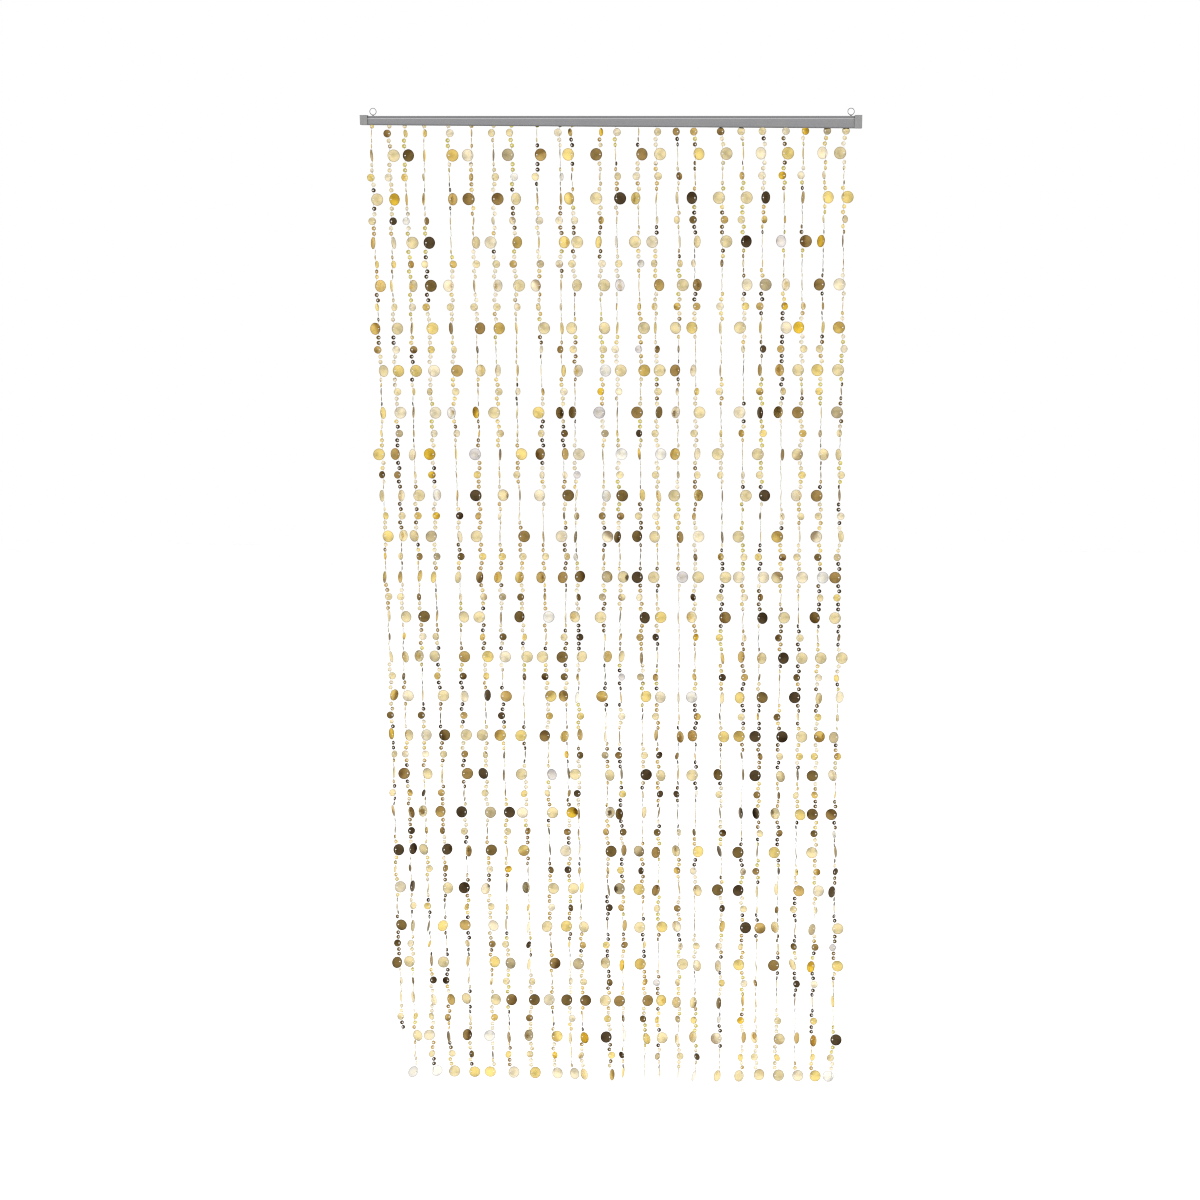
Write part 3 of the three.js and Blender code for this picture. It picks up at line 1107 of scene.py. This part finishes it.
@dataclass
class HangingPlan:
    """Works out how every sequin hangs.

    Rows of large sequins hang a pitch apart, with a medium one between each two and small ones at steps
    below both. Each string sways a little about the line from its place in the rail to the one at its
    hem. Sequins lean to the front more and more toward the hem, and nod by a growing share of their
    own range. The curtain's painted shade is deepest at a share of its depth, within a reach from there,
    where a higher power picks deeper tones and the shade is lower. A run of small sequins keeps its tone
    until a new one is drawn.
    """

    rail: RailSizes
    full_rows: int = 24
    pitch: float = 83.3
    first_row: float = 71.8
    row_rise: float = 0.0065
    hem_depth: float = 2000.0
    sway: float = 1.2
    sway_length: float = 110.0
    sway_phase: float = 2.4
    clear: float = 1.0
    turn_step: float = 12.0
    turn_in_channel: float = 0.15
    below_large: tuple[float, ...] = (17.5, 28.0)
    below_medium: tuple[float, ...] = (13.6, 24.0)
    medium_below_large: float = 41.65
    seed: int = 7919
    first_seed: int = 3
    second_seed: int = 104729
    loose: float = 16.0
    hem_lean: float = 13.0
    nod_at_rail: float = 0.4
    nod_at_hem: float = 1.35
    # How deep a sequin's painted shade on one side is: at least the least, and up to the spread more.
    gloom_least: float = 0.35
    gloom_spread: float = 0.4
    new_run_chance: float = 0.45
    facing_from: float = 0.72
    # Painted shade by height: where it is deepest, how far it reaches, and the shade and tone power in it and
    # away from it.
    dim_at: float = 0.67
    dim_reach: float = 0.27
    dim_shade: float = 0.94
    bright_shade: float = 1.0
    dim_power: float = 1.36
    bright_power: float = 0.76
    shade_spread: float = 0.17
    small_turn_in_channel: float = 0.06

    def string_x(self, i: int, z: float) -> float:
        """Tells where a string hangs.

        Args:
            i: The string's number.
            z: The height.

        Returns:
            The string's X at that height.
        """
        row = STRINGS[i]
        along = -z / self.hem_depth
        sway = self.sway * math.sin(z / self.sway_length + self.sway_phase * i)
        return row.rail + (row.hem - row.rail) * along + sway

    def hang(self) -> list[list[Sequin]]:
        """Plans all strings' sequins.

        Returns:
            Each string's sequins from the top down.
        """
        strings: list[list[Sequin]] = []
        for i, row in enumerate(STRINGS):
            strings.append(self._main_sequins(i, row, strings[-1] if strings else []))
        return [self._loosen(i, self._with_small(i, string)) for i, string in enumerate(strings)]

    def _main_sequins(self, i: int, row: StringRow, left: list[Sequin]) -> list[Sequin]:
        """Plans a string's large and medium sequins.

        Args:
            i: The string's number.
            row: Its row in the table.
            left: The sequins of the string to its left.

        Returns:
            Its sequins, medium and large by turns.
        """
        series = Series(self.seed * (i + self.first_seed))
        count = 2 * row.rows + (1 if row.rows < self.full_rows else 0)
        string: list[Sequin] = []
        for k in range(count):
            kind = Kind.LARGE if k % 2 else Kind.MEDIUM
            turn = self._turn_from(series.draw(), kind.value.facing)
            above = string[-1].turn if string else 0.0
            turn += 180 * math.floor((above - turn) / 180 + 0.5)
            z = -self.first_row - (k - 1) / 2 * self.pitch + self.row_rise * row.rail
            sequin = Sequin(kind, z, turn, series.sign())
            if z + kind.value.radius + self.clear > -self.rail.height(row.rail):
                sequin.turn *= self.turn_in_channel
            if k < len(left):
                self._clear_of(sequin, left[k], self.string_x(i, z) - self.string_x(i - 1, z))
            string.append(sequin)
        return string

    @staticmethod
    def _turn_from(number: float, power: float) -> float:
        """Turns a sequin so that few lie between facing the front and standing edge on.

        Args:
            number: A number between 0 and 1.
            power: A high one turns fewer sequins away from the front.

        Returns:
            The turn from the front, in degrees.
        """
        spread = 2 * number - 1
        share = abs(spread) ** power
        return 90 * math.copysign(share * share * (3 - 2 * share), spread)

    def _clear_of(self, sequin: Sequin, left: Sequin, spacing: float) -> None:
        """Swings a sequin to its string's other side, then turns it, until it clears another.

        Args:
            sequin: The sequin.
            left: The one to its left, on the next string.
            spacing: The distance between the two strings.
        """
        def meets() -> bool:
            """Whether the two come too close."""
            return left.reach(1) + sequin.reach(-1) > spacing - self.clear

        if meets():
            sequin.side = -sequin.side
        while meets():
            sequin.turn += self.turn_step

    def _with_small(self, i: int, main: list[Sequin]) -> list[Sequin]:
        """Adds the small sequins between the others.

        Args:
            i: The string's number.
            main: Its large and medium sequins.

        Returns:
            All its sequins, from the top down.
        """
        series = Series(self.second_seed * (i + self.first_seed))
        first = main[0]
        in_channel = Sequin(Kind.SMALL, first.z + self.medium_below_large - self.below_large[1], 0.0, 1)
        in_channel.turn = self.small_turn_in_channel * series.about(90)
        string = [in_channel]
        for k, sequin in enumerate(main):
            string.append(sequin)
            last = k + 1 == len(main)
            if last and sequin.kind is Kind.LARGE:
                break
            following = sequin if last else main[k + 1]
            steps = self.below_medium if sequin.kind is Kind.MEDIUM else self.below_large
            for step in steps:
                share = step / self.medium_below_large
                turn = sequin.turn + (following.turn - sequin.turn) * share
                whole = 180 * math.floor(turn / 180 + 0.5)
                between = self._turn_from(((turn - whole) / 90 + 1) / 2, Kind.SMALL.value.facing)
                turn = whole + between + series.about(self.loose)
                string.append(Sequin(Kind.SMALL, sequin.z - step, turn, series.sign()))
        return string

    def _dimness(self, z: float) -> float:
        """How deep the curtain's painted shade is at the height z, from 0 to 1."""
        away = (-z / self.hem_depth - self.dim_at) / self.dim_reach
        return max(0.0, 1 - away * away)

    def _loosen(self, i: int, string: list[Sequin]) -> list[Sequin]:
        """Gives a string's sequins their nod, dish, tone, shade and gloom.

        Args:
            i: The string's number.
            string: All its sequins.

        Returns:
            The same sequins.
        """
        series = Series(self.second_seed + self.seed * (i + self.first_seed))
        run_tone = series.pick(SMALL_TONES, self.bright_power)
        for sequin in string:
            size = sequin.kind.value
            in_channel = sequin.z + size.radius + self.clear > -self.rail.height(STRINGS[i].rail)
            along = sequin.z / -self.hem_depth
            lean = self.hem_lean * along * math.cos(math.radians(sequin.turn))
            looseness = self.nod_at_rail + (self.nod_at_hem - self.nod_at_rail) * along
            nod = series.about(size.nod) * looseness
            sequin.nod = 0.0 if in_channel else lean + nod
            sequin.cup = series.sign()
            # Painted shade by height: deeper tones and a lower shade where the curtain is dimmest.
            dim = self._dimness(sequin.z)
            power = self.bright_power + (self.dim_power - self.bright_power) * dim
            shade = self.bright_shade + (self.dim_shade - self.bright_shade) * dim
            sequin.shade = shade + series.about(self.shade_spread)
            if sequin.kind is Kind.SMALL:
                if series.draw() < self.new_run_chance:
                    run_tone = series.pick(SMALL_TONES, power)
                sequin.tone = run_tone
            elif sequin is string[-1]:
                sequin.tone = series.pick(LOWEST_TONES)
            else:
                # Painted reflection: sequins that face the front and turned ones mirror different parts of
                # the room.
                facing = abs(math.cos(math.radians(sequin.turn))) > self.facing_from
                sequin.tone = series.pick(FACING_TONES if facing else TURNED_TONES, power)
            # Painted shade on one side of some sequins, toward a drawn angle.
            if series.draw() < sequin.tone.value.gloom:
                sequin.gloom = self.gloom_least + self.gloom_spread * series.draw()
                sequin.gloom_toward = 360 * series.draw()
        return string


class DiscTemplate:
    """The mesh of one size of sequin, dished to its front, with its hole on the left of its centre."""

    def __init__(self, size: DiscSize, cup: int) -> None:
        """Works out the corners and faces.

        Args:
            size: The sequin's size.
            cup: 1 where it is dished to the front, -1 to the back.
        """
        angles = np.arange(size.sides) * (2 * math.pi / size.sides)
        ring = np.stack([np.cos(angles), np.sin(angles)], axis=1)
        shares = np.linspace(0, 1, size.bands + 1)
        hole = size.hole * ring + np.array([-size.offset, 0.0])
        rim = size.radius * ring
        layer = np.concatenate([hole + (rim - hole) * share for share in shares])
        self.across = np.tile(np.hypot(layer[:, 0], layer[:, 1]) / size.radius, 2)
        rise = cup * size.dish * ((layer**2).sum(1) / size.radius**2 - 0.5)
        self.corners = np.concatenate([
            np.stack([layer[:, 0], rise + side * size.thickness / 2, layer[:, 1]], axis=1) for side in (1, -1)
        ])
        self.faces = self._faces(size.sides, size.bands + 1)

    @staticmethod
    def _faces(sides: int, rings: int) -> np.ndarray:
        """Numbers the faces of both sides, the rim and the hole's edge.

        Args:
            sides: Corners in a ring.
            rings: Rings on each side.

        Returns:
            One row of four corner numbers for each face.
        """
        step = np.arange(sides)
        following = (step + 1) % sides
        back = sides * rings
        faces = []
        for ring in range(rings - 1):
            inner, outer = ring * sides, (ring + 1) * sides
            front = np.stack([inner + step, inner + following, outer + following, outer + step], axis=1)
            faces += [front, front[:, [0, 3, 2, 1]] + back]
        rim = (rings - 1) * sides
        far = back + rim
        faces.append(np.stack([rim + step, rim + following, far + following, far + step], axis=1))
        faces.append(np.stack([step, back + step, back + following, following], axis=1))
        return np.concatenate(faces)


@dataclass
class SequinString:
    """One string: its thread and the sequins on it.

    The thread passes a sequin's edges at its offset and ends in a knot and a short tail. The gloom's
    edge is how fast a sequin's painted shade deepens toward its gloomy side, and its start is how deep
    that painted shade is at the middle.
    """

    number: int
    plan: HangingPlan
    sequins: list[Sequin]
    templates: dict[tuple[Kind, int], DiscTemplate]
    thread_radius: float = 0.25
    thread_offset: float = 0.55
    thread_above: float = 6.0
    thread_behind: float = 0.6
    past_edge: float = 0.3
    knot_place: tuple[float, float] = (0.7, -0.4)
    knot_radius: float = 0.75
    knot_steps: tuple[float, float, float] = (0.3, 0.9, 1.2)
    tail: float = 2.5
    tail_bend: float = 0.3
    tail_taper: float = 0.8
    gloom_edge: float = 2.0
    gloom_start: float = 0.4
    # How much the painted shade darkens red, green and blue at most.
    gloom_depth: Colour = (0.75, 0.85, 0.95, 0.0)
    smooth_sequins: float = 38.0
    smooth_thread: float = 60.0

    @property
    def _label(self) -> str:
        """The string's number in the names of pieces, counted from the left."""
        return f"{self.number + 1:02d}"

    def _axes(self, sequin: Sequin) -> tuple[np.ndarray, np.ndarray, np.ndarray]:
        """Turns and nods a sequin.

        Args:
            sequin: The sequin.

        Returns:
            Its directions across, toward its front and up.
        """
        turn, nod = math.radians(sequin.turn), math.radians(sequin.nod)
        across = np.array([math.cos(turn), math.sin(turn), 0.0])
        level = np.array([math.sin(turn), -math.cos(turn), 0.0])
        up = np.array([0.0, 0.0, 1.0])
        return across, level * math.cos(nod) + up * math.sin(nod), up * math.cos(nod) - level * math.sin(nod)

    def _centre(self, sequin: Sequin, across: np.ndarray) -> np.ndarray:
        """The middle of a sequin."""
        on_string = np.array([self.plan.string_x(self.number, sequin.z), 0.0, sequin.z])
        return on_string + sequin.side * sequin.kind.value.offset * across

    def build_sequins(self) -> bpy.types.Object:
        """Makes the mesh of all the string's sequins, with each one's tone and its share of the radius.

        Returns:
            The piece.
        """
        corners, faces, tones, across_shares = [], [], [], []
        total = 0
        for sequin in self.sequins:
            template = self.templates[sequin.kind, sequin.cup]
            across, front, up = self._axes(sequin)
            flip = np.array([sequin.side, sequin.side, 1.0])
            local = template.corners * flip
            place = local @ np.stack([across, front, up]) + self._centre(sequin, across)
            corners.append(place)
            faces.append(template.faces + total)
            tones.append(self._tones(sequin, template))
            across_shares.append(template.across)
            total += len(place)
        every_corner, every_face = np.concatenate(corners), np.concatenate(faces)
        piece = make_object(f"sequins_{self._label}", every_corner, every_face, self.smooth_sequins)
        tone = piece.data.attributes.new("tone", "FLOAT_COLOR", "POINT")
        tone.data.foreach_set("color", np.concatenate(tones).astype(np.float32).ravel())
        share = piece.data.attributes.new("across", "FLOAT", "POINT")
        share.data.foreach_set("value", np.concatenate(across_shares).astype(np.float32))
        return piece

    def _tones(self, sequin: Sequin, template: DiscTemplate) -> np.ndarray:
        """Colours a sequin, deeper toward its side of painted shade, and keeps its hue where it is palest.

        Args:
            sequin: The sequin.
            template: Its mesh.

        Returns:
            The colour at each of its corners.
        """
        toward = math.radians(sequin.gloom_toward)
        along = template.corners[:, 0] * math.cos(toward) + template.corners[:, 2] * math.sin(toward)
        gloomy = np.clip(along / sequin.kind.value.radius * self.gloom_edge + self.gloom_start, 0, 1)
        share = gloomy[:, None] * sequin.gloom
        colour = sequin.tone.value.colour
        tone = np.array(colour) * (1 - share * np.array(self.gloom_depth))
        tone[:, :3] *= min(sequin.shade, 1 / max(colour[:3]))
        return tone

    def _route(self) -> list[tuple[np.ndarray, float]]:
        """Leads the thread behind each sequin's upper half, through its hole and over its lower half.

        Returns:
            Points, each with the thread's radius there.
        """
        top = self.plan.rail.wall + self.plan.rail.gap + self.thread_above
        start = np.array([self.plan.string_x(self.number, -top), self.thread_behind, -top])
        route = [(start, self.thread_radius)]
        for sequin in self.sequins:
            size = sequin.kind.value
            across, front, up = self._axes(sequin)
            centre = self._centre(sequin, across)
            half = math.sqrt(size.radius**2 - size.offset**2)
            rims = size.dish * 0.5 * sequin.cup * sequin.side
            at_hole = size.dish * ((size.offset / size.radius) ** 2 - 0.5) * sequin.cup * sequin.side
            for rise, lift in (
                (half + self.past_edge, rims - self.thread_offset),
                (0.0, at_hole),
                (-half - self.past_edge, rims + self.thread_offset),
            ):
                point = centre - sequin.side * size.offset * across + rise * up + lift * front
                route.append((point, self.thread_radius))
        return self._knotted(route)

    def _knotted(self, route: list[tuple[np.ndarray, float]]) -> list[tuple[np.ndarray, float]]:
        """Ends the thread in a small knot: right at the last hole, or a little below a small sequin.

        Args:
            route: The points so far.

        Returns:
            All the points.
        """
        last = self.sequins[-1]
        if last.kind is Kind.LARGE:
            _, front, up = self._axes(last)
            hole = route[-2][0]
            forward, rise = self.knot_place
            route[-1] = (hole + front * forward + up * rise, self.thread_radius)
        end, _ = route[-1]
        down = np.array([0.0, 0.0, -1.0])
        radii = (self.knot_radius, self.knot_radius, self.thread_radius)
        route += [(end + down * step, radius) for step, radius in zip(self.knot_steps, radii)]
        bend = np.array([self.tail_bend * math.sin(STRINGS[self.number].rail), 0.0, 0.0])
        route.append((end + down * self.tail + bend, self.thread_radius * self.tail_taper))
        return route

    def build_thread(self) -> bpy.types.Object:
        """Makes the thread's mesh, a four-sided tube along its route.

        Returns:
            The piece.
        """
        route = self._route()
        ring = np.array([[1, 0, 0], [0, 1, 0], [-1, 0, 0], [0, -1, 0]], float)
        corners = np.concatenate([point + ring * radius for point, radius in route])
        sides = len(ring)
        faces = [[3, 2, 1, 0]]
        for level in range(len(route) - 1):
            upper, lower = level * sides, (level + 1) * sides
            for k in range(sides):
                following = (k + 1) % sides
                faces.append([upper + k, upper + following, lower + following, lower + k])
        last = (len(route) - 1) * sides
        faces.append([last, last + 1, last + 2, last + 3])
        turned = np.array(faces)[:, ::-1]
        return make_object(f"thread_{self._label}", corners, turned, self.smooth_thread)


@dataclass
class SequinStrings:
    """All the strings and the header tape that holds them, in two lengths."""

    rail: RailSizes
    tape_above_edge: float = 5.0
    tape_join: float = -5.5
    tape_front: float = 1.0
    tape_back: float = 3.1
    tape_rounding: float = 0.3
    tape_lengths: int = 24
    tape_smooth: float = 30.0
    nodes: tuple[str, str] = ("strings_left", "strings_right")
    pieces: list[bpy.types.Object] = field(default_factory=list)

    def build(
        self, foil: bpy.types.Material, thread: bpy.types.Material, tape: bpy.types.Material,
    ) -> None:
        """Makes and dresses every string and both lengths of tape.

        Args:
            foil: The sequins' material.
            thread: The thread's material.
            tape: The tape's material.
        """
        plan = HangingPlan(self.rail)
        templates = {(kind, cup): DiscTemplate(kind.value, cup) for kind in Kind for cup in (-1, 1)}
        left, right = self.nodes
        for number, sequins in enumerate(plan.hang()):
            node = left if STRINGS[number].rail < self.tape_join else right
            string = SequinString(number, plan, sequins, templates)
            self._keep(string.build_sequins(), foil, node)
            self._keep(string.build_thread(), thread, node)
        end = self.rail.length / 2 - self.rail.cap_length
        self._keep(self._tape("tape_left", -end, self.tape_join), tape, left)
        self._keep(self._tape("tape_right", self.tape_join + self.rail.gap, end), tape, right)

    def _keep(self, piece: bpy.types.Object, material: bpy.types.Material, node: str) -> None:
        """Dresses a piece and keeps it in the list."""
        dress(piece, material, node)
        self.pieces.append(piece)

    def _tape(self, name: str, low: float, high: float) -> bpy.types.Object:
        """Makes a length of tape behind the threads, down to a little above the rail's lower edge.

        Args:
            name: The piece's name.
            low: The X of its left end.
            high: The X of its right end.

        Returns:
            The piece.
        """
        top = -self.rail.wall - self.rail.gap
        bottom = self.tape_above_edge - self.rail.height(0)
        front, back = self.tape_front, self.tape_back
        corners = [(back, top), (front, top), (front, bottom), (back, bottom)]
        bm = prism(corners, low, high, self.tape_lengths)
        self.rail.follow_edge(bm)
        round_edges(bm, self.tape_rounding)
        return from_bmesh(name, bm, self.tape_smooth)


@dataclass(frozen=True)
class Lamp:
    """A large soft lamp, its place in metres and its power in watts."""

    name: str
    place: Point
    power: float


@dataclass(frozen=True)
class Studio:
    """The pale floor, the soft light and the camera at the photograph's viewing angle, in metres.

    The foil mirrors patches of the levels in mirrored, each with the place where its ramp reaches it.
    """

    floor_z: float = -2.32
    floor_half: float = 9.0
    camera_place: Point = (0.3395, -3.5, -0.2694)
    yaw: float = -2.037
    pitch: float = 11.0
    roll: float = -0.154
    lens: float = 52.72
    sensor: float = 36.0
    shift_x: float = -0.1
    filter_width: float = 1.1
    patch_scale: float = 1.7
    mirrored: tuple[tuple[float, float], ...] = ((0.36, 0.64), (0.46, 0.94), (0.55, 1.08), (0.66, 1.22))
    around: float = 1.14
    backdrop: float = 1.0
    lamps: tuple[Lamp, ...] = (
        Lamp("key", (-2.6, -3.2, 1.6), 60.0),
        Lamp("fill", (3.0, -2.2, 0.4), 30.0),
        Lamp("rear", (0.6, 3.4, 1.8), 40.0),
    )
    lamp_size: float = 3.0
    lamps_aim: Point = (0.0, 0.0, -1.0)

    def build_floor(self, material: bpy.types.Material) -> None:
        """Makes the floor, which isn't part of the curtain.

        Args:
            material: The floor's material.
        """
        half = self.floor_half / METRES
        level = self.floor_z / METRES
        signs = ((-1, -1), (1, -1), (1, 1), (-1, 1))
        corners = np.array([[right * half, back * half, level] for right, back in signs])
        floor = make_object("floor", corners, np.array([[0, 1, 2, 3]]), None)
        floor.data.materials.append(material)

    def build_camera(self) -> None:
        """Makes the camera and aims it."""
        yaw, pitch, roll = (math.radians(angle) for angle in (self.yaw, self.pitch, self.roll))
        forward = Vector((math.sin(yaw) * math.cos(pitch), math.cos(yaw) * math.cos(pitch), -math.sin(pitch)))
        right = Vector((math.cos(yaw), -math.sin(yaw), 0.0))
        down = forward.cross(right)
        rolled_right = math.cos(roll) * right + math.sin(roll) * down
        rolled_down = math.cos(roll) * down - math.sin(roll) * right
        data = bpy.data.cameras.new("camera")
        data.sensor_width = self.sensor
        data.lens = self.lens
        data.shift_x = self.shift_x
        camera = bpy.data.objects.new("camera", data)
        turn = Matrix((rolled_right, -rolled_down, -forward)).transposed().to_4x4()
        camera.matrix_world = Matrix.Translation(Vector(self.camera_place)) @ turn
        bpy.context.scene.collection.objects.link(camera)
        bpy.context.scene.camera = camera

    def build_world(self) -> None:
        """Makes the soft light all round, with calm darker patches for the foil to mirror."""
        world = bpy.data.worlds.new("studio")
        world.use_nodes = True
        world.node_tree.nodes.clear()
        bpy.context.scene.world = world
        graph = Graph(world.node_tree)
        direction = graph.add("ShaderNodeTexCoord").outputs["Generated"]
        noise = {"Vector": direction, "Scale": self.patch_scale, "Detail": 1.0}
        patches = graph.add("ShaderNodeTexNoise", noise)
        soft = graph.ramp(patches.outputs["Fac"], *((place, grey(level)) for place, level in self.mirrored))
        ray = graph.add("ShaderNodeLightPath")
        lit = graph.mix(ray.outputs["Is Glossy Ray"], grey(self.around), soft)
        light = graph.mix(ray.outputs["Is Camera Ray"], lit, grey(self.backdrop))
        background = graph.add("ShaderNodeBackground", {"Color": light, "Strength": 1.0})
        graph.add("ShaderNodeOutputWorld", {"Surface": background.outputs[0]})

    def build_lights(self) -> None:
        """Makes the large soft lamps, which the foil doesn't mirror."""
        for lamp in self.lamps:
            data = bpy.data.lights.new(lamp.name, "AREA")
            data.shape = "SQUARE"
            data.size = self.lamp_size
            data.energy = lamp.power
            made = bpy.data.objects.new(lamp.name, data)
            made.location = lamp.place
            made.visible_glossy = False
            made.rotation_mode = "QUATERNION"
            made.rotation_quaternion = (Vector(self.lamps_aim) - Vector(lamp.place)).to_track_quat("-Z", "Y")
            bpy.context.scene.collection.objects.link(made)

    def set_view(self) -> None:
        """Shows colours plainly, as a product photograph does."""
        settings = bpy.context.scene.view_settings
        settings.view_transform = "Standard"
        settings.look = "None"
        bpy.context.scene.cycles.filter_width = self.filter_width


def save_sizes() -> None:
    """Updates the view layer.
    """
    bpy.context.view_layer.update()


def main() -> None:
    """Builds the scene in order and reports each piece."""
    logging.basicConfig(level=logging.INFO, format="%(message)s")
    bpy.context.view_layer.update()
    studio = Studio()
    studio.build_camera()
    studio.build_world()
    studio.build_lights()
    studio.set_view()
    effects = EffectGroups()
    studio.build_floor(PaleFloor().build(effects))

    sizes = RailSizes()
    built: list[bpy.types.Object] = []
    rail = Rail(sizes)
    built.append(rail.build())
    rail.dress(built[-1], Enamel(rail=sizes).build(effects))
    plastic = MouldedPlastic().build(effects)
    for end in End:
        cap = EndCap(sizes, end)
        built.append(cap.build())
        cap.dress(built[-1], plastic)
    wire = DrawnWire().build(effects)
    for end, x in ((End.LEFT, sizes.eye_left), (End.RIGHT, sizes.eye_right)):
        eye = RingEye(end, x)
        built.append(eye.build())
        eye.dress(built[-1], wire)
    strings = SequinStrings(sizes)
    strings.build(GoldFoil().build(effects), Thread().build(effects), WovenTape().build(effects))
    built += strings.pieces

    for piece in built:
        faces = sum(len(face.vertices) - 2 for face in piece.data.polygons)
        LOG.info("%s: %d triangles", piece.name, faces)
    save_sizes()


if __name__ == "__main__":
    main()
